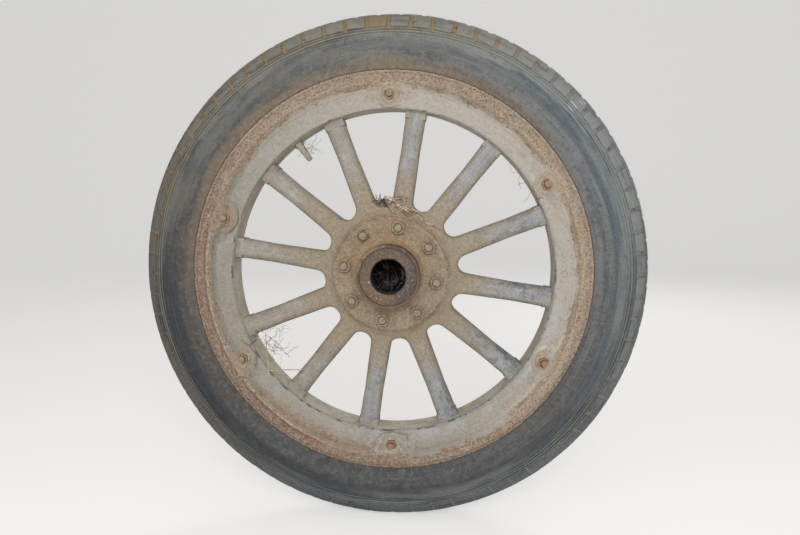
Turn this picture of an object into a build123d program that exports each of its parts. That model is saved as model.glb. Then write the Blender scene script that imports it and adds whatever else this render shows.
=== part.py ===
from build123d import *
import os
from math import asin, cos, degrees, hypot, radians, sin, sqrt

# A wooden-spoked car wheel of the 1920s with its pneumatic tyre, in millimetres.
# The axle lies along Y, the outer side faces -Y and Z points up. The origin is on the
# axle, in the middle plane of the wooden felloe. Angles are seen from the outer side,
# anticlockwise from +X.

# Tyre
SECTION_HEIGHT = 110.2
SECTION_RADIUS = 52.4

# Steel rim that the tyre's beads sit on
SEAT_RADIUS = 304.8
RIM_INSIDE_HALF_WIDTH = 38.0
RIM_WALL = 4.0
SEAT_FILLET = 5.0
RIM_FLANGE_HEIGHT = 9.2
CURL_RADIUS = 7.5
GUTTER_LIP = 2.5
GUTTER_SLOPE = 7.0
GUTTER_FLAT = 4.0
INNER_BEAD_WIDTH = 7.0

# Wooden felloe and the steel band shrunk on it, both inside the rim
RIM_CLEARANCE = 3.1
FELLOE_HEIGHT = 30.0
FELLOE_HALF_DEPTH = 26.0
FELLOE_ROUNDING = 4.0
FELLOE_JOINT_FROM_BOLT = 3.0
FELLOE_JOINT_GAP = 1.5
BAND_WALL = 3.5
BAND_STOP_WIDTH = 6.0

# Spokes
SPOKE_COUNT = 12
FIRST_SPOKE_FROM_BOLT = 9.0
SPOKE_HALF_WIDTH = 16.5
SPOKE_WAIST = 15.4
SPOKE_END_HALF_WIDTH = 17.0
SPOKE_HALF_DEPTH = 14.5
SPOKE_CORNER = 11.0
ROOT_WEB = 18.8
ROOT_MARGIN = 8.8
ROOT_TAPER_LENGTH = 52.0
ROOT_ROUNDING = 7.0
ROOT_STEPS = 4
SPOKE_BLOCK_LENGTH = 12.0
SPOKE_BLOCK_CORNER = 3.5
TENON_RADIUS = 11.0
TENON_LENGTH = 22.0

# Hub
HUB_HALF_DEPTH = 26.0
FLANGE_RADIUS = 91.2
FLANGE_WALL = 8.0
NOSE_RADIUS = 50.0
NOSE_LENGTH = 44.0
NOSE_LIP = 4.0
NOSE_RECESS = 5.5
BARREL_STEP = 1.0
BARREL_PROUD = 2.0
INNER_BOSS_WALL = 7.0
INNER_BOSS_LENGTH = 30.0
SPINDLE_RADIUS = 31.0
OUTER_BEARING_BORE = 27.7
OUTER_BEARING_WIDTH = 22.0
INNER_BEARING_BORE = 34.0
INNER_BEARING_OUTSIDE = 49.0
INNER_BEARING_WIDTH = 22.0

# Bolts through the hub
HUB_BOLT_COUNT = 8
FIRST_HUB_BOLT_ANGLE = 80.0
HUB_BOLT_INSET = 15.2
HUB_BOLT_RADIUS = 5.5
HUB_NUT_FLATS = 20.0
HUB_NUT_HEIGHT = 9.0
HUB_BOLT_HEAD_RADIUS = 10.0
HUB_BOLT_HEAD_HEIGHT = 6.0

# Bolts, nuts and lugs that clamp the rim, one of them out of the even pitch
RIM_BOLT_ANGLES = (90.0, 30.0, -30.0, -90.0, -150.0, 161.5)
RIM_BOLT_INSET = 7.5
RIM_BOLT_RADIUS = 5.0
RIM_NUT_FLATS = 17.0
RIM_NUT_HEIGHT = 8.0
RIM_BOLT_HEAD_RADIUS = 10.0
RIM_BOLT_HEAD_HEIGHT = 5.0
LUG_HALF_WIDTH = 27.0
LUG_WALL = 6.0
LUG_REACH = 21.0
LUG_TOE_LIP = 2.5
LUG_TOE_WALL = 5.5
BOLT_END = 3.0

# Tyre valve
VALVE_ANGLE = 126.0
VALVE_RADIUS = 4.0
VALVE_HOLE_RADIUS = 6.0
VALVE_NUT_FLATS = 15.0
VALVE_NUT_HEIGHT = 6.0
VALVE_CAP_RADIUS = 6.5
VALVE_CAP_TIP_RADIUS = 4.5
VALVE_CAP_LENGTH = 28.0

# Clearances
SEAT_GAP = 0.3
SHRINK_GAP = 0.2
HOLE_GAP = 0.3
MITRE_GAP = 0.1

# Direction of +Z, in which each repeated piece is first made
UP = 90.0

TYRE_RADIUS = SEAT_RADIUS + SECTION_HEIGHT
FLANGE_STRAIGHT_RADIUS = SEAT_RADIUS + RIM_FLANGE_HEIGHT
RIM_INNER_RADIUS = SEAT_RADIUS - RIM_WALL
RIM_OUTSIDE_HALF_WIDTH = RIM_INSIDE_HALF_WIDTH + RIM_WALL
BAND_OUTER_RADIUS = RIM_INNER_RADIUS - RIM_CLEARANCE
BAND_INNER_RADIUS = BAND_OUTER_RADIUS - BAND_WALL
FELLOE_OUTER_RADIUS = BAND_INNER_RADIUS - SHRINK_GAP
FELLOE_INNER_RADIUS = FELLOE_OUTER_RADIUS - FELLOE_HEIGHT
RIM_BOLT_CIRCLE_RADIUS = FELLOE_OUTER_RADIUS - RIM_BOLT_INSET
FELLOE_JOINT_ANGLE = RIM_BOLT_ANGLES[1] - FELLOE_JOINT_FROM_BOLT
FIRST_SPOKE_ANGLE = RIM_BOLT_ANGLES[0] - FIRST_SPOKE_FROM_BOLT
CURL_CENTRE_Y = RIM_INSIDE_HALF_WIDTH + CURL_RADIUS
SPOKE_PITCH = 360.0 / SPOKE_COUNT
HUB_BOLT_PITCH = 360.0 / HUB_BOLT_COUNT
HUB_FACE = HUB_HALF_DEPTH + FLANGE_WALL
NOSE_END = HUB_FACE + NOSE_LENGTH
BARREL_RADIUS = NOSE_RADIUS + BARREL_STEP
INNER_BOSS_RADIUS = INNER_BEARING_OUTSIDE + INNER_BOSS_WALL
HUB_BOLT_CIRCLE_RADIUS = FLANGE_RADIUS - HUB_BOLT_INSET
ROOT_SHOULDER_RADIUS = FLANGE_RADIUS + ROOT_MARGIN
GAP_FLOOR_RADIUS = FLANGE_RADIUS + ROOT_WEB
ROOT_TAPER_END_RADIUS = ROOT_SHOULDER_RADIUS + ROOT_TAPER_LENGTH
BOSS_END = HUB_FACE + INNER_BOSS_LENGTH
LUG_FACE = FELLOE_HALF_DEPTH + LUG_WALL


def turned(shape, angle):
    """Turns a shape made along +Z so that it points along the given angle."""
    return Rot(0, UP - angle, 0) * shape


def revolved(outline):
    """Turns an outline of radius and depth once around the axle."""
    return revolve(make_face(outline), axis=Axis.Y)


def across(radius, length, start, z=0.0):
    """A round bar along Y from the depth start, length long."""
    bar = Cylinder(radius, length, align=(Align.CENTER, Align.CENTER, Align.MIN))
    return Pos(0, start, z) * Rot(-90, 0, 0) * bar


def hexagon_across(flats, length, start, z):
    """A hexagonal nut along Y with one flat facing away from the axle."""
    bar = extrude(RegularPolygon(flats / 2, 6, major_radius=False), length)
    return Pos(0, start, z) * Rot(-90, 0, 0) * Rot(0, 0, 30) * bar


def joined(solids):
    """One node of several solids that don't touch."""
    return Compound(children=list(solids))


def flange_outline(gap):
    """Bead seat fillet, wall and curl of one rim flange, moved into the tyre by a gap."""
    fillet_centre = (SEAT_RADIUS + SEAT_FILLET, -(RIM_INSIDE_HALF_WIDTH - SEAT_FILLET))
    wall = -(RIM_INSIDE_HALF_WIDTH - gap)
    curl_centre = (FLANGE_STRAIGHT_RADIUS, -CURL_CENTRE_Y)
    return (
        CenterArc(fillet_centre, SEAT_FILLET - gap, 180, 90)
        + Line((SEAT_RADIUS + SEAT_FILLET, wall), (FLANGE_STRAIGHT_RADIUS, wall))
        + CenterArc(curl_centre, CURL_RADIUS + gap, 0, 90)
    )


def make_tyre():
    """Inflated tyre: round crown, nearly straight sidewalls and beads that fill the rim."""
    crown_centre = TYRE_RADIUS - SECTION_RADIUS
    lip = FLANGE_STRAIGHT_RADIUS + CURL_RADIUS + SEAT_GAP
    rise = crown_centre - lip
    bulge = SECTION_RADIUS - CURL_CENTRE_Y
    side_radius = (rise ** 2 + bulge ** 2) / (2 * bulge)
    side_angle = degrees(asin(rise / side_radius))
    side_centre = (crown_centre, side_radius - SECTION_RADIUS)
    half = flange_outline(SEAT_GAP) + CenterArc(side_centre, side_radius, 270 - side_angle, side_angle)
    seat = SEAT_RADIUS + SEAT_GAP
    seat_end = RIM_INSIDE_HALF_WIDTH - SEAT_FILLET
    crown = CenterArc((crown_centre, 0), SECTION_RADIUS, -90, 180)
    bead_line = Line((seat, -seat_end), (seat, seat_end))
    return revolved(half + mirror(half, about=Plane.XZ) + crown + bead_line)


def make_rim():
    """Straight-side rim with a sloped gutter that the lugs press on."""
    lip = FLANGE_STRAIGHT_RADIUS + CURL_RADIUS
    curl_outer = CURL_RADIUS - RIM_WALL
    outside = -RIM_OUTSIDE_HALF_WIDTH
    half = (
        flange_outline(0.0)
        + Line((lip, -CURL_CENTRE_Y), (lip - RIM_WALL, -CURL_CENTRE_Y))
        + CenterArc((FLANGE_STRAIGHT_RADIUS, -CURL_CENTRE_Y), curl_outer, 0, 90)
        + Line((FLANGE_STRAIGHT_RADIUS, outside), (SEAT_RADIUS, outside))
    )
    gutter = RIM_INNER_RADIUS - GUTTER_LIP
    gutter_start = outside + GUTTER_SLOPE
    bead_radius = BAND_OUTER_RADIUS + SEAT_GAP
    bead_end = FELLOE_HALF_DEPTH - BAND_STOP_WIDTH - SEAT_GAP
    inside = Polyline(
        (SEAT_RADIUS, outside),
        (gutter, gutter_start),
        (gutter, gutter_start + GUTTER_FLAT),
        (RIM_INNER_RADIUS, gutter_start + 2 * GUTTER_FLAT),
        (RIM_INNER_RADIUS, bead_end - INNER_BEAD_WIDTH),
        (bead_radius, bead_end - INNER_BEAD_WIDTH + GUTTER_LIP),
        (bead_radius, bead_end),
        (RIM_INNER_RADIUS, bead_end),
        (RIM_INNER_RADIUS, RIM_OUTSIDE_HALF_WIDTH),
        (SEAT_RADIUS, RIM_OUTSIDE_HALF_WIDTH),
    )
    seat_end = RIM_INSIDE_HALF_WIDTH - SEAT_FILLET
    seat = Line((SEAT_RADIUS, -seat_end), (SEAT_RADIUS, seat_end))
    rim = revolved(half + mirror(half, about=Plane.XZ) + inside + seat)
    return rim - valve_hole()


def make_band():
    """Steel band round the felloe, with a low stop on its inner side for the rim's bead."""
    stop = RIM_INNER_RADIUS - SEAT_GAP
    outline = Polyline(
        (BAND_INNER_RADIUS, -FELLOE_HALF_DEPTH),
        (BAND_OUTER_RADIUS, -FELLOE_HALF_DEPTH),
        (BAND_OUTER_RADIUS, FELLOE_HALF_DEPTH - BAND_STOP_WIDTH),
        (stop, FELLOE_HALF_DEPTH - BAND_STOP_WIDTH),
        (stop, FELLOE_HALF_DEPTH),
        (BAND_INNER_RADIUS, FELLOE_HALF_DEPTH),
        close=True,
    )
    return revolved(outline) - valve_hole()


def valve_hole():
    """Radial hole for the valve through rim, band and felloe."""
    reach = SEAT_RADIUS + RIM_WALL - FELLOE_INNER_RADIUS
    hole = Cylinder(VALVE_HOLE_RADIUS, 2 * reach)
    return turned(Pos(0, 0, SEAT_RADIUS - reach / 2) * hole, VALVE_ANGLE)


def make_felloe_half(first_angle):
    """Half of the wooden felloe, from its first angle back through a half turn."""
    corner = FELLOE_ROUNDING
    inner, outer, half = FELLOE_INNER_RADIUS, FELLOE_OUTER_RADIUS, FELLOE_HALF_DEPTH
    outline = (
        Polyline((inner + corner, -half), (outer, -half), (outer, half), (inner + corner, half))
        + CenterArc((inner + corner, half - corner), corner, 90, 90)
        + Line((inner, half - corner), (inner, corner - half))
        + CenterArc((inner + corner, corner - half), corner, 180, 90)
    )
    gap_angle = degrees(FELLOE_JOINT_GAP / outer)
    ring = revolve(make_face(outline), axis=Axis.Y, revolution_arc=180.0 - gap_angle)
    half_ring = Rot(0, -(first_angle - gap_angle / 2), 0) * ring
    mortice = Cylinder(TENON_RADIUS + HOLE_GAP, 2 * (TENON_LENGTH + HOLE_GAP))
    for number in range(SPOKE_COUNT):
        angle = FIRST_SPOKE_ANGLE + number * SPOKE_PITCH
        half_ring -= turned(Pos(0, 0, FELLOE_INNER_RADIUS) * mortice, angle)
    bolt_hole = across(RIM_BOLT_RADIUS + HOLE_GAP, 4 * half, -2 * half, z=RIM_BOLT_CIRCLE_RADIUS)
    for angle in RIM_BOLT_ANGLES:
        half_ring -= turned(bolt_hole, angle)
    return half_ring - valve_hole()


def root_half_depth(radius):
    """Half-depth of a spoke where its root thins on an arc that ends along the shaft."""
    drop = HUB_HALF_DEPTH - SPOKE_HALF_DEPTH
    arc_radius = (ROOT_TAPER_LENGTH ** 2 + drop ** 2) / (2 * drop)
    rest = ROOT_TAPER_END_RADIUS - radius
    return SPOKE_HALF_DEPTH + arc_radius - sqrt(arc_radius ** 2 - rest ** 2)


def spoke_root():
    """Wedge that meets its neighbours on mitred faces and narrows by two round throats."""
    half_pitch = radians(SPOKE_PITCH / 2)
    sine, cosine = sin(half_pitch), cos(half_pitch)
    throat_centre_radius = (GAP_FLOOR_RADIUS - SPOKE_HALF_WIDTH) / (1 - sine)
    throat = throat_centre_radius - GAP_FLOOR_RADIUS
    centre_x, centre_z = throat_centre_radius * sine, throat_centre_radius * cosine
    barrel = BARREL_RADIUS + HOLE_GAP
    side = (
        Line((barrel * sine, barrel * cosine), (GAP_FLOOR_RADIUS * sine, GAP_FLOOR_RADIUS * cosine))
        + CenterArc((centre_x, centre_z), throat, 180, UP - SPOKE_PITCH / 2)
    )
    foot = CenterArc((0, 0), barrel, UP - SPOKE_PITCH / 2, SPOKE_PITCH)
    top = Line((-SPOKE_HALF_WIDTH, centre_z), (SPOKE_HALF_WIDTH, centre_z))
    outline = Plane.XZ * make_face(side + mirror(side, about=Plane.YZ) + foot + top)
    wedge = extrude(outline, HUB_HALF_DEPTH, both=True)
    middle_radius = ROOT_SHOULDER_RADIUS + ROOT_TAPER_LENGTH / 2
    front = (
        Line((HUB_HALF_DEPTH, 0), (HUB_HALF_DEPTH, ROOT_SHOULDER_RADIUS))
        + ThreePointArc(
            (HUB_HALF_DEPTH, ROOT_SHOULDER_RADIUS),
            (root_half_depth(middle_radius), middle_radius),
            (SPOKE_HALF_DEPTH, ROOT_TAPER_END_RADIUS),
        )
    )
    ends = (
        Line((-HUB_HALF_DEPTH, 0), (HUB_HALF_DEPTH, 0))
        + Line((-SPOKE_HALF_DEPTH, ROOT_TAPER_END_RADIUS), (SPOKE_HALF_DEPTH, ROOT_TAPER_END_RADIUS))
    )
    profile = Plane.YZ * make_face(front + mirror(front, about=Plane.YZ) + ends)
    root = wedge & extrude(profile, FLANGE_RADIUS, both=True)
    throat_edges = [
        edge for edge in root.edges()
        if hypot(edge.center().X, edge.center().Z) > GAP_FLOOR_RADIUS
        and edge.center().Z < centre_z - throat / 4
    ]
    return fillet(throat_edges, ROOT_ROUNDING)


def spoke_section(radius, half_width, half_depth, corner):
    """Rounded cross-section of a spoke at one distance from the axle."""
    return Pos(0, 0, radius) * RectangleRounded(2 * half_width, 2 * half_depth, corner)


def make_spoke():
    """One spoke along +Z: mitred root, oval shaft, squared end and round tenon."""
    block_start = FELLOE_INNER_RADIUS - SPOKE_BLOCK_LENGTH
    middle = (ROOT_TAPER_END_RADIUS + block_start) / 2
    sections = []
    for step in range(ROOT_STEPS + 1):
        share = step / ROOT_STEPS
        radius = GAP_FLOOR_RADIUS + share * (ROOT_TAPER_END_RADIUS - GAP_FLOOR_RADIUS)
        corner = ROOT_ROUNDING + share * (SPOKE_CORNER - ROOT_ROUNDING)
        sections.append(spoke_section(radius, SPOKE_HALF_WIDTH, root_half_depth(radius), corner))
    sections.append(spoke_section(middle, SPOKE_WAIST, SPOKE_HALF_DEPTH, SPOKE_CORNER))
    sections.append(spoke_section(block_start, SPOKE_HALF_WIDTH, SPOKE_HALF_DEPTH, SPOKE_CORNER))
    shaft = loft(sections, ruled=True)
    end = FELLOE_INNER_RADIUS - SEAT_GAP
    block = extrude(
        spoke_section(block_start, SPOKE_END_HALF_WIDTH, SPOKE_HALF_DEPTH, SPOKE_BLOCK_CORNER),
        SPOKE_BLOCK_LENGTH,
    )
    block = block & across(end, 2 * HUB_HALF_DEPTH, -HUB_HALF_DEPTH)
    up = (Align.CENTER, Align.CENTER, Align.MIN)
    tenon = Cylinder(TENON_RADIUS, TENON_LENGTH + end - block_start, align=up)
    return spoke_root() + shaft + block + Pos(0, 0, block_start) * tenon


def make_spokes():
    """The twelve spokes, each cut by the hub bolts that pass through it."""
    plain = make_spoke()
    slit = Box(2 * MITRE_GAP, 4 * HUB_HALF_DEPTH, 4 * GAP_FLOOR_RADIUS)
    for side in (-1, 1):
        plain -= Rot(0, side * SPOKE_PITCH / 2, 0) * slit
    spokes = []
    for number in range(SPOKE_COUNT):
        spoke = turned(plain, FIRST_SPOKE_ANGLE + number * SPOKE_PITCH)
        for hole in hub_bolt_holes():
            spoke -= hole
        spokes.append(spoke)
    return spokes


def hub_bolt_angles():
    """Angles of the bolts through the hub."""
    return [FIRST_HUB_BOLT_ANGLE + number * HUB_BOLT_PITCH for number in range(HUB_BOLT_COUNT)]


def hub_bolt_holes():
    """Bars that cut the holes for the hub bolts."""
    bar = across(HUB_BOLT_RADIUS + HOLE_GAP, 4 * HUB_FACE, -2 * HUB_FACE, z=HUB_BOLT_CIRCLE_RADIUS)
    return [turned(bar, angle) for angle in hub_bolt_angles()]


def make_hub_shell():
    """Barrel, rear flange and nose in one, bored for the spindle and for both bearings."""
    outer_race_outside = NOSE_RADIUS - NOSE_LIP
    barrel_start = -(HUB_FACE + BARREL_PROUD)
    recess_end = -NOSE_END + NOSE_RECESS
    outer_seat_end = recess_end + OUTER_BEARING_WIDTH
    inner_seat_start = BOSS_END - INNER_BEARING_WIDTH
    outline = Polyline(
        (outer_race_outside, -NOSE_END),
        (NOSE_RADIUS, -NOSE_END),
        (NOSE_RADIUS, barrel_start),
        (BARREL_RADIUS, barrel_start),
        (BARREL_RADIUS, HUB_HALF_DEPTH),
        (FLANGE_RADIUS, HUB_HALF_DEPTH),
        (FLANGE_RADIUS, HUB_FACE),
        (INNER_BOSS_RADIUS, HUB_FACE),
        (INNER_BOSS_RADIUS, BOSS_END),
        (INNER_BEARING_OUTSIDE, BOSS_END),
        (INNER_BEARING_OUTSIDE, inner_seat_start),
        (SPINDLE_RADIUS, inner_seat_start),
        (SPINDLE_RADIUS, outer_seat_end),
        (outer_race_outside, outer_seat_end),
        close=True,
    )
    shell = revolved(outline)
    for hole in hub_bolt_holes():
        shell -= hole
    return shell


def make_outer_bearing():
    """Ring in the nose, set back behind its lip."""
    start = -NOSE_END + NOSE_RECESS
    outside = NOSE_RADIUS - NOSE_LIP - SHRINK_GAP
    ring = across(outside, OUTER_BEARING_WIDTH, start)
    return ring - across(OUTER_BEARING_BORE, OUTER_BEARING_WIDTH, start)


def make_inner_bearing():
    """Ring in the boss on the car's side."""
    start = BOSS_END - INNER_BEARING_WIDTH
    ring = across(INNER_BEARING_OUTSIDE - SHRINK_GAP, INNER_BEARING_WIDTH, start)
    return ring - across(INNER_BEARING_BORE, INNER_BEARING_WIDTH, start)


def make_front_plate():
    """Loose flange that the hub bolts draw against the spokes."""
    plate = across(FLANGE_RADIUS, FLANGE_WALL, -HUB_FACE)
    plate -= across(BARREL_RADIUS + HOLE_GAP, FLANGE_WALL, -HUB_FACE)
    for hole in hub_bolt_holes():
        plate -= hole
    return plate


def make_hub_bolts():
    """Eight round-headed bolts from the rear flange to past the front nuts."""
    end = -(HUB_FACE + HUB_NUT_HEIGHT + BOLT_END)
    shank = across(HUB_BOLT_RADIUS, HUB_FACE - end, end, z=HUB_BOLT_CIRCLE_RADIUS)
    head = across(HUB_BOLT_HEAD_RADIUS, HUB_BOLT_HEAD_HEIGHT, HUB_FACE, z=HUB_BOLT_CIRCLE_RADIUS)
    return joined(turned(shank + head, angle) for angle in hub_bolt_angles())


def make_hub_nuts():
    """Eight nuts on the front plate."""
    start = -(HUB_FACE + HUB_NUT_HEIGHT)
    nut = hexagon_across(HUB_NUT_FLATS, HUB_NUT_HEIGHT, start, HUB_BOLT_CIRCLE_RADIUS)
    nut -= across(HUB_BOLT_RADIUS + SHRINK_GAP, HUB_NUT_HEIGHT, start, z=HUB_BOLT_CIRCLE_RADIUS)
    return joined(turned(nut, angle) for angle in hub_bolt_angles())


def make_rim_lug():
    """Clamp lug: a round-ended plate on the felloe with a toe on the rim's gutter."""
    foot_radius = RIM_BOLT_CIRCLE_RADIUS - LUG_REACH
    shank = RIM_INNER_RADIUS - GUTTER_LIP - SEAT_GAP
    gutter_start = -RIM_OUTSIDE_HALF_WIDTH + GUTTER_SLOPE
    slope = GUTTER_SLOPE / (RIM_WALL + GUTTER_LIP)
    toe_seat = gutter_start - 2 * SEAT_GAP - slope * LUG_TOE_WALL
    toe_end = toe_seat - LUG_TOE_LIP
    profile = Polyline(
        (foot_radius, -FELLOE_HALF_DEPTH),
        (foot_radius, -LUG_FACE),
        (shank - SEAT_GAP, -LUG_FACE),
        (shank - SEAT_GAP, toe_end),
        (shank + LUG_TOE_WALL, toe_end),
        (shank + LUG_TOE_WALL, toe_seat),
        (shank, gutter_start - 2 * SEAT_GAP),
        (shank, -FELLOE_HALF_DEPTH),
        close=True,
    )
    spread = 2 * degrees(asin(LUG_HALF_WIDTH / RIM_BOLT_CIRCLE_RADIUS))
    ring = revolve(make_face(profile), axis=Axis.Y, revolution_arc=spread)
    swept = Rot(0, -UP - spread / 2, 0) * ring
    shoulder = RIM_BOLT_CIRCLE_RADIUS + LUG_HALF_WIDTH - LUG_REACH
    sides = Polyline(
        (-LUG_HALF_WIDTH, shoulder),
        (-LUG_HALF_WIDTH, SEAT_RADIUS),
        (LUG_HALF_WIDTH, SEAT_RADIUS),
        (LUG_HALF_WIDTH, shoulder),
    )
    tongue = ThreePointArc(
        (-LUG_HALF_WIDTH, shoulder),
        (0, foot_radius),
        (LUG_HALF_WIDTH, shoulder),
    )
    outline = extrude(Plane.XZ * make_face(sides + tongue), -2 * toe_end, both=True)
    hole = across(RIM_BOLT_RADIUS + HOLE_GAP, -2 * toe_end, toe_end, z=RIM_BOLT_CIRCLE_RADIUS)
    return (swept & outline) - hole


def make_rim_lugs():
    """Six lugs that wedge the rim on the felloe band."""
    lug = make_rim_lug()
    return joined(turned(lug, angle) for angle in RIM_BOLT_ANGLES)


def make_rim_bolts():
    """Six bolts through the felloe, heads on the car's side."""
    end = -(LUG_FACE + RIM_NUT_HEIGHT + BOLT_END)
    shank = across(RIM_BOLT_RADIUS, FELLOE_HALF_DEPTH - end, end, z=RIM_BOLT_CIRCLE_RADIUS)
    head = across(
        RIM_BOLT_HEAD_RADIUS, RIM_BOLT_HEAD_HEIGHT, FELLOE_HALF_DEPTH, z=RIM_BOLT_CIRCLE_RADIUS
    )
    return joined(turned(shank + head, angle) for angle in RIM_BOLT_ANGLES)


def make_rim_nuts():
    """Six nuts on the lugs."""
    start = -(LUG_FACE + RIM_NUT_HEIGHT)
    nut = hexagon_across(RIM_NUT_FLATS, RIM_NUT_HEIGHT, start, RIM_BOLT_CIRCLE_RADIUS)
    nut -= across(RIM_BOLT_RADIUS + SHRINK_GAP, RIM_NUT_HEIGHT, start, z=RIM_BOLT_CIRCLE_RADIUS)
    return joined(turned(nut, angle) for angle in RIM_BOLT_ANGLES)


def make_valve():
    """Valve stem through rim and felloe, with its nut on the wood and a tapered dust cap."""
    nut_top = FELLOE_INNER_RADIUS - 2 * SEAT_GAP
    nut_bottom = nut_top - VALVE_NUT_HEIGHT
    up = (Align.CENTER, Align.CENTER, Align.MIN)
    stem = Pos(0, 0, nut_bottom) * Cylinder(VALVE_RADIUS, SEAT_RADIUS - nut_bottom, align=up)
    nut = Pos(0, 0, nut_bottom) * extrude(
        RegularPolygon(VALVE_NUT_FLATS / 2, 6, major_radius=False), VALVE_NUT_HEIGHT
    )
    cap = Cone(VALVE_CAP_TIP_RADIUS, VALVE_CAP_RADIUS, VALVE_CAP_LENGTH, align=up)
    return turned(stem + nut + Pos(0, 0, nut_bottom - VALVE_CAP_LENGTH) * cap, VALVE_ANGLE)


nodes = {
    "tyre": make_tyre(),
    "rim": make_rim(),
    "felloe_band": make_band(),
    "felloe_upper": make_felloe_half(FELLOE_JOINT_ANGLE + 180.0),
    "felloe_lower": make_felloe_half(FELLOE_JOINT_ANGLE),
    "hub_shell": make_hub_shell(),
    "hub_front_plate": make_front_plate(),
    "hub_outer_bearing": make_outer_bearing(),
    "hub_inner_bearing": make_inner_bearing(),
    "hub_bolts": make_hub_bolts(),
    "hub_nuts": make_hub_nuts(),
    "rim_lugs": make_rim_lugs(),
    "rim_bolts": make_rim_bolts(),
    "rim_nuts": make_rim_nuts(),
    "valve": make_valve(),
}
for number, spoke in enumerate(make_spokes(), start=1):
    nodes[f"spoke_{number:02d}"] = spoke

os.makedirs("parts", exist_ok=True)
for name, shape in nodes.items():
    export_step(shape, f"parts/{name}.step")
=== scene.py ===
import random
from math import atan2, cos, degrees, hypot, pi, radians, sin

import bpy
from mathutils import Matrix, Vector


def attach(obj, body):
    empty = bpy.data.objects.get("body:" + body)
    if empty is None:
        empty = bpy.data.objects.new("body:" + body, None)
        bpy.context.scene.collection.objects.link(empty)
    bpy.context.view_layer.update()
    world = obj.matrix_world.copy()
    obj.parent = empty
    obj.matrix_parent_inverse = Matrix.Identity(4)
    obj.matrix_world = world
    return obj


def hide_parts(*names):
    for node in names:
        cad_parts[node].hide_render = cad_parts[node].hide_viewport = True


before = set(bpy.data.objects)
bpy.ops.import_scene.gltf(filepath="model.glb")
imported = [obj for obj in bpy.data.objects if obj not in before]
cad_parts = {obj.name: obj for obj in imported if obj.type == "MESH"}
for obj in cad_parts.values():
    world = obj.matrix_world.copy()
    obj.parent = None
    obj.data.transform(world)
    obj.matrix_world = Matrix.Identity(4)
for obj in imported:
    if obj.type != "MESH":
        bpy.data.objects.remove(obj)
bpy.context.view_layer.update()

# Main sizes, in metres. The axle lies along Y and the outer side faces -Y.
CROWN_CENTRE = 0.3626  # radius of the circle through the middle of the tyre's section
SECTION = 0.0524  # radius of the tyre's section
SIDE_ARC = 0.1241  # radius of the sidewall's own curve
LIP_RADIUS = 0.3218
TYRE_BOTTOM = -0.415
TREAD_DEPTH = 0.0022
RIBS = ((64.5, 0.0002), (66.5, 0), (67.5, 0.0009), (68.8, 0.0009), (69.8, 0), (72.3, 0), (73.2, 0.0008),
        (74.5, 0.0008), (75.5, 0.0002), (82, 0), (90, 0))  # degrees round the section, depth below it
BLOCKS = 72
BLOCK_PITCH = 2 * pi / BLOCKS
CROWN_EDGE, SHOULDER_START, SHOULDER_END = 20, 25, 63  # degrees round the section
HALF_BLOCK, HALF_CROWN_GAP = 2.1, 0.4  # degrees round the axle
SPOKES = 12
SPOKE_ANGLE = 81
HUB_FACE = -0.034
HUB_BOLT_CIRCLE = 0.076
HUB_BOLT_ANGLES = [80 + 45 * number for number in range(8)]
LUG_FACE = -0.032
RIM_BOLT_CIRCLE = 0.2865
RIM_BOLT_ANGLES = (90, 30, -30, -90, -150, 161.5)
NOSE_END = -0.0725
BORE_RADIUS = 0.0312
WEB_RADIUS = 0.0268  # reach of the web in the bore
FUNNEL_RADIUS = 0.027  # where that web is deepest outwards

# Nuts: width across the flats, height, radius of the bolt, corners
HUB_NUT = (0.0192, 0.0085, 0.0055, 6)
SQUARE_HUB_NUT = (0.015, 0.0085, 0.0055, 4)
RIM_NUT = (0.0168, 0.0078, 0.005, 6)

# Mud on each clamp lug, at the top of the wheel: middle, half sizes
LUG_MUD = (
    ((0, -0.017, 0.2885), (0.04, 0.0176, 0.0232)),
    ((0, -0.019, 0.2895), (0.062, 0.0105, 0.0245)),
    ((0, -0.03, 0.3015), (0.042, 0.0128, 0.0165)),
    ((0, -0.0315, RIM_BOLT_CIRCLE), (0.015, 0.0052, 0.014)),
)
MUD_LUMPS = ((32.5, 0.296, 0.0085), (24.8, 0.288, 0.0065), (-85.5, 0.2755, 0.006))  # angle, radius, size
TYRE_SCRATCHES = ((0.283, 0.262), (0.302, 0.272))  # x, z

# Rings of mud turned about the axle: radius, depth
NOSE_MUD = (
    (0.0495, -0.052), (0.0506, -0.0515), (0.0518, -0.0455), (0.0545, -0.0398), (0.059, -0.0364),
    (0.066, -0.0345), (0.066, -0.0335), (0.0495, -0.0335),
)
PLATE_MUD = (
    (0.0895, -0.0325), (0.0905, -0.034), (0.0922, -0.0344), (0.0938, -0.0332), (0.0962, -0.0306),
    (0.0995, -0.0278), (0.103, -0.0263), (0.1045, -0.0256), (0.0895, -0.0256),
)
JOINT_MUD = (
    (0.291, -0.026), (0.2932, -0.0268), (0.2953, -0.0288), (0.2972, -0.032), (0.2988, -0.0352),
    (0.3008, -0.0384), (0.3028, -0.0412), (0.305, -0.0425), (0.308, -0.0423), (0.308, -0.0405),
    (0.3, -0.034), (0.299, -0.028), (0.2975, -0.025), (0.291, -0.025),
)
FLANGE_MUD = (
    (0.3075, -0.0418), (0.311, -0.0425), (0.315, -0.0436), (0.3182, -0.0449), (0.3205, -0.0452),
    (0.3205, -0.04), (0.3075, -0.04),
)

# Straws: start, end, steps, swing, thickness
STRAWS = (
    ((-0.211, -0.0275, -0.104), (-0.206, -0.029, -0.17), 5, 0.0006, 0.0016),
    ((-0.205, -0.028, -0.165), (-0.15, -0.0165, -0.166), 5, 0.0006, 0.0016),
    ((-0.231, -0.0275, -0.088), (-0.207, -0.015, -0.112), 5, 0.0012, 0.0011),
    ((-0.19, -0.0275, -0.172), (-0.166, -0.024, -0.18), 4, 0.0014, 0.001),
)

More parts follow.
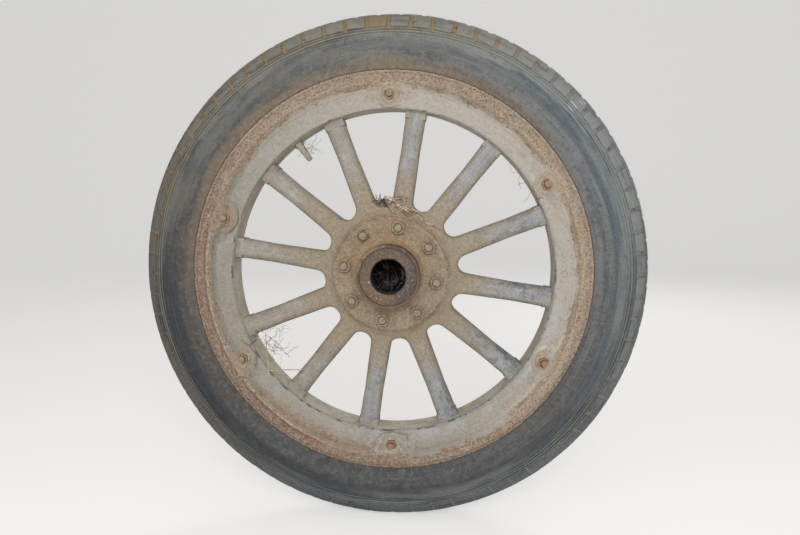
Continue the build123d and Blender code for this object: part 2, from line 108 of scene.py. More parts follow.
# Old web by the valve and in two gaps: name, middle, half sizes, strands, length, thickness
WEBS = (
    ("valve_web", (-0.138, -0.008, 0.207), (0.01, 0.006, 0.005), 14, 0.02, 0.0007),
    ("gap_web", (-0.196, -0.016, -0.118), (0.016, 0.008, 0.026), 46, 0.022, 0.0007),
    ("upper_web", (0.215, -0.004, 0.14), (0.022, 0.008, 0.03), 12, 0.026, 0.0006),
)
FLUFF_HAIRS = ("fluff_hairs", (-0.015, -0.021, 0.117), (0.01, 0.005, 0.005), 40, 0.01, 0.0009)


# Hand tools


def put_tools_down():
    """Leaves edit mode and selects nothing."""
    if bpy.context.object and bpy.context.object.mode != "OBJECT":
        bpy.ops.object.mode_set(mode="OBJECT")
    bpy.ops.object.select_all(action="DESELECT")


def take_up(piece):
    """Makes a piece the only selected one."""
    put_tools_down()
    bpy.context.view_layer.objects.active = piece
    piece.select_set(True)


def named(name):
    """Names the primitive that was just added."""
    piece = bpy.context.object
    piece.name = name
    piece.data.name = name
    return piece


def settle(piece):
    """Puts a piece's place, turn and scale into its mesh."""
    take_up(piece)
    bpy.ops.object.transform_apply(location=True, rotation=True, scale=True)


def edit_all():
    """Starts editing with every point selected."""
    bpy.ops.object.mode_set(mode="EDIT")
    bpy.ops.mesh.select_mode(type="VERT")
    bpy.ops.mesh.select_all(action="SELECT")


def stop_editing():
    """Leaves edit mode."""
    bpy.ops.object.mode_set(mode="OBJECT")


def pick(piece, kind, wanted):
    """Selects the edges or faces for which wanted(item) is true, and starts editing."""
    take_up(piece)
    bpy.ops.object.mode_set(mode="EDIT")
    bpy.ops.mesh.select_mode(type=kind)
    bpy.ops.mesh.select_all(action="DESELECT")
    stop_editing()
    for item in piece.data.edges if kind == "EDGE" else piece.data.polygons:
        item.select = wanted(item)
    bpy.ops.object.mode_set(mode="EDIT")


def extrude(step):
    """Extrudes what is selected by a step."""
    bpy.ops.mesh.extrude_region_move(TRANSFORM_OT_translate={"value": step})


def tidy_faces(piece, gap=0.00001):
    """Merges doubled points and points all faces outwards."""
    take_up(piece)
    edit_all()
    bpy.ops.mesh.remove_doubles(threshold=gap)
    bpy.ops.mesh.normals_make_consistent(inside=False)
    stop_editing()


def drawn_line(name, points):
    """A line of edges through the points, extruded from one vertex to the next."""
    put_tools_down()
    bpy.ops.mesh.primitive_plane_add(size=0.001, location=points[0])
    line = named(name)
    settle(line)
    edit_all()
    bpy.ops.mesh.merge(type="CENTER")
    for start, end in zip(points, points[1:]):
        extrude(Vector(end) - Vector(start))
    stop_editing()
    return line


def turned_ring(name, outline, steps):
    """A ring turned about the axle from an outline of radius and depth, closed on itself."""
    points = [(0, depth, radius) for radius, depth in outline]
    ring = drawn_line(name, points + [points[0]])
    edit_all()
    bpy.ops.mesh.remove_doubles(threshold=0.00001)
    bpy.ops.mesh.spin(steps=steps, angle=2 * pi, center=(0, 0, 0), axis=(0, 1, 0))
    stop_editing()
    tidy_faces(ring)
    return ring


def apply_modifier(piece, kind, **settings):
    """Adds a modifier with its settings and applies it."""
    take_up(piece)
    modifier = piece.modifiers.new(kind.title(), kind)
    for setting, value in settings.items():
        setattr(modifier, setting, value)
    bpy.ops.object.modifier_apply(modifier=modifier.name)


def roughen(piece, lump, height, middle=0.5, group=""):
    """Pushes a piece's surface in and out by clouds with lumps of a given size."""
    clouds = bpy.data.textures.new(piece.name + "_lumps", "CLOUDS")
    clouds.noise_scale = lump
    clouds.noise_depth = 2
    apply_modifier(piece, "DISPLACE", texture=clouds, strength=height, mid_level=middle,
                   texture_coords="LOCAL", vertex_group=group)


def smooth(piece, angle=60):
    """Shades a piece smooth except along edges sharper than the angle."""
    take_up(piece)
    bpy.ops.object.shade_smooth_by_angle(angle=radians(angle))
    return piece


def turned(piece, angle):
    """Turns a piece made at the top of the wheel to an angle seen from outside."""
    piece.rotation_euler.y = radians(90 - angle)
    settle(piece)
    return piece


def joined(pieces, name):
    """Joins pieces into one."""
    take_up(pieces[0])
    for piece in pieces:
        piece.select_set(True)
    bpy.context.view_layer.objects.active = pieces[0]
    bpy.ops.object.join()
    return named(name)


# Finishes


def tone(red, green, blue):
    """A colour from 0 to 255 a channel, as the shader wants it."""
    def channel(value):
        value /= 255
        return value / 12.92 if value <= 0.04045 else ((value + 0.055) / 1.055) ** 2.4
    return (channel(red), channel(green), channel(blue), 1)


class Finish:
    """One material, laid coat by coat on Object coordinates. Tones are red, green and blue up to 255."""

    def __init__(self, name, roughness=0.85, specular=0.3):
        self.material = bpy.data.materials.new(name)
        self.material.use_nodes = True
        tree = self.material.node_tree
        self.nodes, self.links = tree.nodes, tree.links
        self.shader = self.nodes["Principled BSDF"]
        self.shader.inputs["Roughness"].default_value = roughness
        self.shader.inputs["Specular IOR Level"].default_value = specular
        self.place = self.node("TexCoord", {})["Object"]
        self.x, self.y, self.z = self.node("SeparateXYZ", {0: self.place})
        self.radius = self.distance(0, 0)

    def feed(self, socket, value):
        """Links an output to a socket, or sets a plain value or a tone on it."""
        if isinstance(value, bpy.types.NodeSocket):
            self.links.new(value, socket)
        elif value is not None:
            socket.default_value = tone(*value) if socket.type == "RGBA" else value

    def node(self, kind, inputs, **settings):
        """Adds a node with its settings, feeds its inputs and returns its outputs."""
        node = self.nodes.new("ShaderNode" + kind)
        for setting, value in settings.items():
            setattr(node, setting, value)
        for name, value in inputs.items():
            self.feed(node.inputs[name], value)
        return node.outputs

    def sum(self, operation, *values):
        """A Math node, with one more for each value after the second."""
        first = self.node("Math", dict(enumerate(values[:2])), operation=operation)[0]
        return self.sum(operation, first, *values[2:]) if values[2:] else first

    def add(self, *terms):
        """Adds up several values."""
        return self.sum("ADD", *terms)

    def times(self, *factors):
        """Multiplies several values."""
        return self.sum("MULTIPLY", *factors) if factors[1:] else factors[0]

    def distance(self, across, up):
        """Distance from a line along the axle's direction, through the place at X and Z."""
        aside, above = self.sum("SUBTRACT", self.x, across), self.sum("SUBTRACT", self.z, up)
        return self.sum("SQRT", self.add(self.times(aside, aside), self.times(above, above)))

    def sway(self, value, reach):
        """A value around a half, made to swing around nought by a reach."""
        return self.times(self.sum("SUBTRACT", value, 0.5), reach)

    def lean(self, across, up):
        """Grows towards one side of the wheel, given as parts of X and Z."""
        return self.add(self.times(self.x, across), self.times(self.z, up))

    def vector(self, x, y, z):
        """A vector from three numbers."""
        return self.node("CombineXYZ", {0: x, 1: y, 2: z})[0]

    def mapped(self, shift, source=None):
        """Coordinates moved by a Mapping node."""
        return self.node("Mapping", {"Vector": source or self.place, "Location": shift})[0]

    def noise(self, size, detail, rough=0.55, shift=(0, 0, 0), source=None):
        """Cloudy noise whose lumps are about the size given in metres."""
        place = self.mapped(shift, source)
        inputs = {"Vector": place, "Scale": 1 / size, "Detail": detail, "Roughness": rough}
        return self.node("TexNoise", inputs)["Fac"]

    def streaks(self, along, across, height, detail, rough, shift=(0, 0, 0)):
        """Noise drawn out round the wheel, along by across metres, over a height in metres."""
        turn = self.sum("DIVIDE", CROWN_CENTRE / along, self.radius)
        rows = self.sum("DIVIDE", height, across)
        source = self.vector(self.times(self.x, turn), rows, self.times(self.z, turn))
        return self.noise(1, detail, rough, shift, source)

    def cells(self, size, shift):
        """Distance to scattered points about size metres apart."""
        return self.node("TexVoronoi", {"Vector": self.mapped(shift), "Scale": 1 / size})["Distance"]

    def ramp(self, value, low, high, start=0, end=1):
        """Turns a range of values smoothly into another one, and holds its ends."""
        inputs = {"Value": value, "From Min": low, "From Max": high, "To Min": start, "To Max": end}
        return self.node("MapRange", inputs, interpolation_type="SMOOTHSTEP")["Result"]

    def side(self, across, up, *limits):
        """A ramp over what grows towards one side of the wheel."""
        return self.ramp(self.lean(across, up), *limits)

    def line(self, value, middle, half_width):
        """One at the middle value, fading to nought at half_width on either side."""
        return self.ramp(self.sum("ABSOLUTE", self.sum("SUBTRACT", value, middle)), half_width, 0)

    def mix(self, share, under, over):
        """Lays one colour over another by a share from 0 to 1."""
        return self.node("Mix", {0: share, 6: under, 7: over}, data_type="RGBA")[2]

    def coat(self, *layer):
        """Lays a tone, given last, over the colour so far, by the product of the shares before it."""
        *shares, over = layer
        self.colour = self.mix(self.times(*shares), self.colour, over)

    def blotch(self, pattern, low, high, share, over, *shares):
        """Lays a tone where a pattern goes from low to high, by at most a share and the shares after it."""
        self.coat(self.ramp(pattern, low, high, 0, share), *shares, over)

    def bump(self, height, distance, strength, under=None):
        """Bump of a height field that is distance metres from 0 to 1."""
        inputs = {"Height": height, "Distance": distance, "Strength": strength, "Normal": under}
        return self.node("Bump", inputs)["Normal"]

    def steep(self):
        """One on sides that turn away from the axle's direction, nought on faces across it."""
        parts = self.node("SeparateXYZ", {0: self.node("TexCoord", {})["Normal"]})
        return self.ramp(self.sum("ABSOLUTE", parts[1]), 0.94, 0.55)

    def attribute(self, name):
        """A number stored on the piece's mesh."""
        return self.node("Attribute", {}, attribute_name=name)["Fac"]

    def lay(self, normal=None, pattern=None, *limits):
        """Connects the finished colour, its bumps and its roughness, a ramp over a pattern."""
        roughness = self.ramp(pattern, *limits) if limits else None
        for name, value in (("Base Color", self.colour), ("Roughness", roughness), ("Normal", normal)):
            self.feed(self.shader.inputs[name], value)
        return self.material


def dusty_rubber():
    """Slate-grey perished rubber with pale scuffs, dry mud in the tread and tan dust by the rim; painted
    lighter at the upper right and darker at the lower left as light and shade, with a painted highlight and
    sheen and painted shade in the grooves.
    """
    f = Finish("dusty_rubber", specular=0.25)
    turn = f.sum("ARCTAN2", f.y, f.sum("SUBTRACT", f.radius, CROWN_CENTRE))
    down = f.times(f.sum("ABSOLUTE", turn), 180 / pi)
    width = f.times(turn, SECTION)
    broad = f.streaks(0.16, 0.03, width, 3, 0.5)
    patches = f.streaks(0.08, 0.012, width, 5, 0.55, (3, 1, 2))
    bands = f.streaks(0.3, 0.0085, width, 3, 0.5, (5, 3, 7))
    scuffs = f.streaks(0.08, 0.003, width, 4, 0.55, (1, 6, 2))
    crust = f.noise(0.007, 5, 0.65, (1, 5, 2))
    grit = f.noise(0.0026, 3, 0.65, (4, 5, 9))
    patchy = f.noise(0.03, 3, 0.6, (2, 7, 4))
    mottle = f.noise(0.013, 5, 0.65, (8, 2, 5))
    # Painted light: the tones below come in shaded and lit copies, lighter towards the upper right, with a
    # painted highlight on the upper right wall.
    painted_lit_side = f.ramp(f.add(f.lean(0.62, 0.78), f.sway(broad, 0.24)), -0.36, 0.44)
    painted_highlight = f.ramp(f.add(f.lean(0.7, 0.72), f.sway(broad, 0.12)), 0.27, 0.37)
    warm = f.side(-0.42, 0.9, 0.1, 0.34)
    f.colour = f.mix(painted_lit_side, (52, 54, 57), (98, 102, 106))
    f.coat(painted_highlight, f.ramp(down, 108, 88, 0.45, 1), (128, 134, 136))
    f.blotch(patches, 0.52, 0.64, 0.6, f.mix(painted_lit_side, (82, 84, 86), (126, 130, 129)))
    f.blotch(patches, 0.48, 0.37, 0.7,
             f.mix(painted_lit_side, (40, 42, 46), f.mix(warm, (72, 78, 84), (84, 86, 82))))
    right = f.side(0.95, -0.2, 0.08, 0.24)
    cloudy = f.ramp(right, 0, 1, 1, 0.55)
    f.blotch(mottle, 0.53, 0.62, 0.5, f.mix(painted_lit_side, (84, 84, 82), (132, 133, 129)), cloudy)
    f.blotch(mottle, 0.47, 0.38, 0.55,
             f.mix(painted_lit_side, (40, 42, 45), f.mix(warm, (74, 80, 86), (86, 86, 80))), cloudy)
    ringed = f.times(f.ramp(down, 74, 80), f.ramp(right, 0, 1, 0.35, 1))
    f.coat(ringed, f.ramp(bands, 0.52, 0.62), 0.5, f.mix(painted_lit_side, (88, 90, 92), (128, 130, 127)))
    f.coat(ringed, f.ramp(bands, 0.48, 0.38), 0.5, f.mix(painted_lit_side, (46, 50, 56), (78, 87, 98)))
    band = f.times(f.ramp(down, 78, 86), f.ramp(down, 108, 98), f.ramp(broad, 0.68, 0.5))
    f.coat(band, 0.6, f.mix(warm, f.mix(painted_lit_side, (60, 64, 70), (82, 90, 98)), (94, 97, 97)))
    sheen = f.times(f.line(down, 83, 10), f.ramp(patches, 0.4, 0.6), f.ramp(f.z, -0.05, 0.24))
    f.coat(sheen, 0.5, (128, 132, 131))
    bottom = f.times(f.ramp(f.z, -0.24, -0.34), f.ramp(down, 98, 82))
    f.coat(bottom, 0.75, f.mix(f.ramp(patches, 0.4, 0.6), (74, 80, 87), (112, 115, 117)))
    beneath = f.times(f.ramp(f.z, -0.2, -0.3), f.ramp(down, 88, 104))
    f.coat(beneath, f.ramp(mottle, 0.4, 0.6), 0.5, (100, 96, 94))
    f.blotch(scuffs, 0.54, 0.7, 0.45, f.mix(painted_lit_side, (104, 105, 103), (138, 138, 132)))
    brown = f.times(f.ramp(f.noise(0.045, 4, 0.6, (6, 2, 8)), 0.52, 0.64), f.ramp(down, 82, 92))
    f.coat(brown, 0.35, f.mix(painted_lit_side, (96, 86, 78), (122, 114, 104)))
    shade = f.times(f.side(-0.8, -0.6, 0.22, 0.34), f.ramp(down, 66, 74), f.ramp(down, 112, 98))
    f.coat(shade, 0.4, (48, 51, 55))
    low = f.ramp(down, 96, 112)
    f.coat(low, f.ramp(painted_lit_side, 1, 0.2, 0, 0.4),
           f.mix(f.ramp(f.z, -0.2, -0.3), (96, 89, 84), (88, 90, 93)))
    f.coat(low, f.ramp(crust, 0.48, 0.68), 0.45, (126, 118, 106))
    f.coat(low, f.ramp(crust, 0.46, 0.34), 0.45, (58, 57, 56))
    tan = f.side(-0.34, 0.92, -0.14, 0.32)
    to_rim = f.add(f.radius, f.sway(patches, -0.038), f.sway(crust, 0.02), f.times(tan, -0.015))
    tan_tone = f.mix(f.ramp(crust, 0.42, 0.62), (116, 101, 84), (138, 120, 99))
    f.coat(f.ramp(to_rim, 0.332, 0.312), f.ramp(tan, 0, 1, 0.25, 0.8), f.mix(tan, (90, 83, 77), tan_tone))
    top_dust = f.times(warm, f.ramp(f.add(patches, f.sway(mottle, 0.3)), 0.4, 0.58), 0.55)
    f.coat(top_dust, f.ramp(down, 112, 60, 0.4, 1), (122, 117, 104))
    f.coat(f.line(f.radius, 0.3222, 0.0016), 0.8, (84, 60, 46))
    olive = f.times(f.ramp(down, 74, 68), f.side(-0.97, 0.1, 0.1, 0.28), f.ramp(broad, 0.6, 0.5))
    f.coat(olive, 0.7, (92, 89, 79))
    worn_tread = f.times(f.ramp(down, 66, 58),
                         f.ramp(f.add(patches, f.sway(mottle, 0.5)), 0.3, 0.6, 0.25, 0.75))
    blue = f.side(0.4, -0.9, 0.1, 0.32)
    # Painted light: the worn tread is painted in a shaded and a lit copy.
    shaded_tread = f.mix(blue, (107, 103, 96), (98, 105, 112))
    lit_tread = f.mix(warm, (146, 148, 146), (150, 145, 131))
    f.coat(worn_tread, f.mix(painted_lit_side, shaded_tread, lit_tread))
    rib_dust = f.ramp(scuffs, 0.34, 0.56, 0.35, 1)
    rib_tone = f.mix(warm, (136, 136, 129), (152, 138, 112))
    for middle, half in ((65.6, 1.5), (71.1, 1.6), (75.8, 1.3)):
        f.coat(f.line(down, middle, half), rib_dust, 0.85, rib_tone)
    # Painted shade: a dark line in each of the two grooves between the ribs.
    for middle in (68.1, 73.8):
        f.coat(f.line(down, middle, 1), 0.45, (62, 63, 62))
    mud_line = f.add(f.attribute("groove"), f.sway(patches, 1.1), f.sway(crust, 0.9), f.sway(patchy, 0.8))
    dryness = f.add(f.ramp(f.z, -0.08, 0.26, 0.24, 0.9), f.times(f.side(0.65, -0.76, 0.26, 0.36), 0.6))
    mud = f.times(f.ramp(mud_line, 0.48, 0.8), dryness)
    ochre = f.ramp(f.add(f.lean(-0.45, 0.89), f.sway(patchy, 0.25)), 0.1, 0.3)
    gap_tone = f.mix(ochre, (134, 130, 123), f.mix(warm, (152, 128, 97), (146, 123, 90)))
    f.coat(mud, gap_tone)
    # Painted shade: dark patches deep in the sunk tread gaps by the crown.
    gap_shade = f.times(f.attribute("groove"), f.ramp(crust, 0.48, 0.38), f.ramp(down, 44, 32, 1, 0))
    f.coat(gap_shade, 0.7, (52, 48, 43))
    tan_block = f.times(f.ramp(down, 66, 62), f.ramp(f.z, 0.3, 0.34),
                        f.line(f.add(f.x, f.sway(crust, 0.01)), -0.02, 0.034))
    f.coat(f.ramp(tan_block, 0.15, 0.5), 0.8, (140, 122, 94))
    for across, up in TYRE_SCRATCHES:
        scratch = f.times(f.ramp(f.distance(across, up), 0.01, 0.005), f.ramp(scuffs, 0.5, 0.56))
        f.coat(scratch, 0.8, (206, 208, 204))
    f.blotch(grit, 0.5, 0.68, 0.22, f.mix(painted_lit_side, (120, 117, 110), (142, 139, 130)))
    f.blotch(grit, 0.48, 0.32, 0.32, (46, 47, 48))
    height = f.add(f.times(grit, 0.4), f.times(crust, f.ramp(down, 70, 110, 0.35, 1.3)), patches)
    normal = f.bump(height, 0.0013, 0.7, f.bump(scuffs, 0.0008, 0.5))
    return f.lay(normal, crust, 0.3, 0.7, 0.62, 0.9)


def felloe_cream(f):
    """Dusty cream of the felloe, painted lighter at the upper right and darker at the lower left as light and
    shade, with greenish and fawn clouds.
    """
    # Painted light: each tone comes in a shaded and a lit copy, lighter towards the upper right.
    side = f.side(0.8, 0.55, -0.24, 0.24)
    clouds = f.noise(0.045, 4, 0.55, (4, 1, 1))
    f.colour = f.mix(side, (147, 143, 134), (172, 164, 155))
    f.blotch(clouds, 0.52, 0.66, 0.65, f.mix(side, (144, 146, 136), (168, 167, 159)))
    f.blotch(clouds, 0.47, 0.34, 0.55, f.mix(side, (154, 143, 130), (175, 161, 148)))
    f.blotch(f.z, -0.08, -0.22, 0.5, (168, 160, 150))
    flecks = f.noise(0.01, 5, 0.7, (3, 8, 5))
    stain = f.times(f.side(-0.38, -0.93, 0.25, 0.278),
                    f.ramp(f.add(f.radius, f.sway(clouds, 0.04), f.sway(flecks, 0.03)), 0.281, 0.293))
    f.coat(stain, 0.6, f.mix(f.ramp(flecks, 0.42, 0.56), (142, 110, 88), (168, 143, 118)))
    return f.colour


def rim_tones(f):
    """Rust with grains up to its ragged edge with the wood, as the colour so far. Returns its height."""
    patches = f.streaks(0.05, 0.012, f.add(f.radius, f.y), 5, 0.6)
    flakes = f.noise(0.01, 5, 0.7, (8, 1, 1))
    grit = f.noise(0.0032, 3, 0.7, (2, 2, 7))
    fine = f.noise(0.0018, 2, 0.6, (5, 2, 1))
    pits = f.cells(0.004, (1, 0, 3))
    grains = f.cells(0.0036, (6, 2, 3))
    cream = felloe_cream(f)
    left = f.side(-0.95, -0.6, 0.02, 0.26)
    right = f.side(0.97, -0.05, 0.14, 0.27)
    gutter = f.ramp(f.add(f.radius, f.sway(patches, 0.004), f.times(right, -0.006)), 0.3085, 0.301)
    flat = f.mix(left, (154, 138, 123), (138, 119, 104))
    # The gutter's slope is painted lighter than the flat band, to offset the shade on the slope.
    lifted_slope = f.mix(left, (174, 156, 134), (169, 151, 131))
    f.colour = f.mix(gutter, flat, lifted_slope)
    f.blotch(patches, 0.51, 0.64, 0.6, f.mix(left, (164, 137, 110), (140, 112, 92)))
    f.blotch(patches, 0.47, 0.34, 0.5, f.mix(left, (170, 157, 143), (156, 140, 124)))
    f.blotch(flakes, 0.56, 0.67, 0.45, (124, 101, 84))
    f.blotch(flakes, 0.43, 0.34, 0.5, (180, 167, 151))
    low = f.ramp(f.z, -0.2, -0.27)
    red = f.times(low, f.ramp(f.radius, 0.318, 0.312), f.ramp(patches, 0.44, 0.54))
    f.coat(red, f.ramp(flakes, 0.4, 0.56), 0.65, (140, 104, 85))
    by_tyre = f.times(f.ramp(f.radius, 0.315, 0.319), f.ramp(f.z, 0, -0.22))
    f.coat(by_tyre, 0.7, (118, 106, 89))
    to_wood = f.add(f.radius, f.sway(patches, 0.018), f.sway(flakes, 0.016), f.sway(grit, 0.006),
                    f.times(low, f.ramp(f.noise(0.06, 3, 0.5, (3, 3, 9)), 0.42, 0.6, 0, -0.009)))
    pale = f.ramp(to_wood, 0.3, 0.295)
    f.coat(pale, cream)
    # Painted light: the steep slopes at the upper right are painted lighter to offset their shade.
    shaded = f.times(pale, f.steep(), f.side(0.75, 0.65, -0.15, 0.1, 0, 0.8))
    f.coat(shaded, (212, 203, 188))
    speck = f.ramp(pale, 0, 1, 1, 0.35)
    f.blotch(grains, 0.26, 0.1, 0.5, (198, 186, 171), speck)
    f.blotch(pits, 0.3, 0.14, 0.7, (94, 74, 62), speck)
    f.blotch(grit, 0.5, 0.66, 0.45, (192, 179, 163), speck)
    f.blotch(grit, 0.47, 0.34, 0.5, (98, 79, 66), speck)
    f.blotch(fine, 0.5, 0.34, 0.35, (84, 68, 58), speck)
    ridge = f.add(f.radius, f.sway(patches, 0.003))
    seam = f.times(f.side(-0.9, -0.4, 0.19, 0.25), f.ramp(flakes, 0.36, 0.5))
    f.coat(f.line(ridge, 0.3058, 0.0022), seam, 0.75, (106, 78, 63))
    f.coat(f.line(ridge, 0.3024, 0.0013), seam, f.ramp(grit, 0.44, 0.56), 0.75, (208, 199, 186))
    return f.add(f.times(grit, 0.7), f.times(f.ramp(pits, 0.12, 0.32), 0.9), f.times(flakes, 0.8))


def rust_scale():
    """Pitted rust of the rim."""
    f = Finish("rust_scale", specular=0.2)
    height = rim_tones(f)
    return f.lay(f.bump(height, 0.0016, 0.7), height, 0.8, 1.6, 0.8, 0.96)


def lug_mud():
    """Mud on the clamp lugs, in the tones of the rim and wood round them, in tan swirls about each nut."""
    f = Finish("lug_mud", specular=0.15)
    patches = f.noise(0.016, 5, 0.6, (2, 4, 1))
    flecks = f.noise(0.007, 5, 0.7, (9, 1, 3))
    height = rim_tones(f)
    near = f.add(f.attribute("reach"), f.sway(patches, 0.018), f.sway(flecks, 0.004))
    rusty = f.ramp(f.add(f.lean(-1, 0), f.sway(patches, 0.05)), 0.23, 0.27)
    low = f.ramp(f.z, -0.12, -0.24)
    mud = f.mix(low, f.mix(rusty, (172, 155, 133), (148, 126, 107)), (158, 148, 134))
    f.coat(f.ramp(near, 0.026, 0.01), f.ramp(patches, 0.62, 0.42, 0.25, 0.7), mud)
    rough = f.times(rusty, f.ramp(near, 0.034, 0.016))
    f.coat(rough, f.ramp(flecks, 0.4, 0.58, 0.25, 0.85), (160, 141, 120))
    f.coat(rough, f.ramp(flecks, 0.5, 0.4, 0, 0.7), (122, 100, 83))
    # Painted light: the steep inner end of each lug at the upper right is painted lighter to offset the shade
    # on it.
    lifted_inner_end = f.times(f.steep(), f.ramp(f.radius, 0.279, 0.274), f.side(0.75, 0.65, -0.15, 0.1, 0, 0.8))
    f.coat(lifted_inner_end, (222, 212, 196))
    swirl = f.times(f.ramp(flecks, 0.4, 0.54), f.ramp(rusty, 0, 1, 0.4, 0.15))
    f.coat(f.line(near, 0.01, 0.003), swirl, (186, 172, 152))
    f.coat(f.line(near, 0.014, 0.0024), swirl, (128, 104, 83))
    f.coat(f.line(near, 0.0195, 0.0022), swirl, 0.8, (136, 112, 90))
    washed = f.times(f.ramp(f.z, -0.25, -0.27), f.ramp(flecks, 0.52, 0.6))
    f.coat(washed, 0.6, (180, 182, 183))
    return f.lay(f.bump(f.add(height, patches), 0.0015, 0.7), flecks, 0.3, 0.7, 0.85, 0.97)


def dusty_wood():
    """Old cream paint under fawn dust: long grain, blue-grey flaking, mud by the hub, rust by the rim."""
    f = Finish("dusty_wood", specular=0.2)
    on_rim = f.ramp(f.radius, 0.262, 0.2655)
    on_spoke = f.sum("SUBTRACT", 1, on_rim)
    angle = f.sum("ARCTAN2", f.z, f.x)
    along_spoke = f.vector(f.times(angle, 36), f.times(f.y, 170), f.times(f.radius, 13))
    spoke_grain = f.noise(1, 5, 0.6, source=along_spoke)
    rim_grain = f.streaks(0.12, 0.006, f.add(f.radius, f.y), 4, 0.6)
    grain = f.add(f.times(spoke_grain, on_spoke), f.times(rim_grain, on_rim))
    share = f.times(f.sum("SUBTRACT", angle, radians(SPOKE_ANGLE)), SPOKES / (2 * pi))
    off_centre = f.times(f.sum("SUBTRACT", share, f.sum("ROUND", share)), 2 * pi / SPOKES, f.radius)
    broad = f.noise(0.1, 4, 0.55)
    patches = f.noise(0.028, 5, 0.6, (4, 1, 1))
    blots = f.noise(0.014, 5, 0.7, (7, 3, 2))
    grit = f.noise(0.0036, 3, 0.7, (1, 1, 6))
    specks = f.cells(0.011, (5, 3, 1))
    cream = felloe_cream(f)
    fawn = f.side(-1, 0.1, -0.04, 0.16)
    middle = f.ramp(f.add(f.sum("ABSOLUTE", off_centre), f.sway(blots, 0.012)), 0.0105, 0.0045)
    edges = f.mix(fawn, (151, 145, 134), (149, 140, 127))
    f.colour = f.mix(middle, edges, f.mix(fawn, (147, 150, 152), (150, 143, 132)))
    f.coat(on_rim, cream)
    soft = f.ramp(on_rim, 0, 1, 1, 0.35)
    f.blotch(broad, 0.52, 0.66, 0.5, (168, 166, 160), soft)
    f.blotch(patches, 0.53, 0.66, 0.5, (172, 171, 167), soft)
    f.blotch(patches, 0.46, 0.32, 0.6, (132, 124, 111), soft)
    f.blotch(grain, 0.54, 0.72, 0.42, (124, 121, 116), soft)
    f.blotch(grain, 0.46, 0.3, 0.3, (184, 180, 170), soft)
    f.blotch(specks, 0.13, 0.07, 0.6, (108, 95, 82))
    worn = f.side(0.62, -0.8, -0.22, 0.26, -0.07, 0.045)
    flake = f.add(blots, f.sway(broad, 0.25), worn)
    bare = f.times(f.ramp(flake, 0.56, 0.62), f.ramp(f.radius, 0.12, 0.17), on_spoke)
    low_right = f.side(0.62, -0.8, -0.2, 0.02, 0.25, 0.7)
    f.coat(bare, low_right, (122, 127, 131))
    f.coat(bare, low_right, f.ramp(blots, 0.62, 0.72), (80, 86, 90))
    rubbed = f.times(f.ramp(f.add(off_centre, f.sway(blots, 0.01)), 0.0065, 0.0105), on_spoke,
                     f.side(0.95, -0.6, 0.15, 0.21), f.ramp(patches, 0.38, 0.5))
    f.coat(rubbed, 0.75, f.mix(f.ramp(blots, 0.42, 0.6), (118, 124, 134), (84, 88, 98)))
    washed = f.times(f.ramp(f.add(patches, worn), 0.52, 0.6), f.line(f.radius, 0.274, 0.012), on_rim,
                     f.side(0.5, -0.85, 0.12, 0.22))
    f.coat(washed, 0.45, (178, 181, 184))
    strip = f.times(f.line(f.radius, 0.266, 0.0036), f.side(0.9, -0.45, 0.1, 0.22),
                    f.ramp(blots, 0.4, 0.54))
    f.coat(strip, 0.6, (126, 134, 142))
    edge = f.times(f.line(f.radius, 0.2652, 0.0026), f.ramp(f.y, -0.0205, -0.0235))
    chipped = f.side(0.3, -0.9, -0.2, 0.2, -0.09, 0)
    chips = f.ramp(f.add(patches, f.sway(broad, 0.4), chipped), 0.51, 0.56)
    f.coat(edge, chips, 0.9, (72, 77, 82))
    to_hub = f.add(f.radius, f.sway(patches, 0.09))
    mud = f.ramp(to_hub, 0.215, 0.115)
    f.coat(mud, 0.9, (152, 138, 118))
    to_rim = f.add(f.radius, f.sway(patches, 0.014), f.sway(blots, 0.012), f.sway(grit, 0.004),
                   f.ramp(f.z, 0, -0.24, 0, -0.012))
    f.blotch(to_rim, 0.29, 0.296, 0.5, (166, 150, 131))
    f.coat(f.line(f.distance(0.279, 0), 0.005, 0.0016), on_rim, 0.55, (134, 112, 88))
    # Painted light: the felloe's inner face is painted much lighter to offset the shade on it.
    inside = f.times(on_rim, f.ramp(f.radius, 0.2665, 0.2645), f.ramp(f.y, -0.0235, -0.02))
    f.coat(inside, 0.85, f.mix(f.ramp(patches, 0.44, 0.56), (216, 203, 182), (236, 228, 212)))
    stain = f.times(inside, f.ramp(blots, 0.58, 0.66))
    f.coat(stain, 0.5, (160, 122, 92))
    coarse = f.ramp(mud, 0, 1, 0.3, 0.5)
    f.coat(f.ramp(grit, 0.5, 0.68), coarse, f.mix(mud, (192, 188, 178), (184, 170, 147)))
    f.coat(f.ramp(grit, 0.47, 0.33), coarse, f.mix(mud, (106, 98, 86), (104, 88, 70)))
    height = f.add(f.times(grain, f.ramp(mud, 0, 1, 1, 0.15)), f.times(grit, 0.45), f.times(bare, -0.7),
                   f.times(rubbed, -0.5))
    normal = f.bump(height, 0.001, 0.7, f.bump(patches, 0.0014, 0.6))
    return f.lay(normal, grit, 0.3, 0.7, 0.78, 0.95)


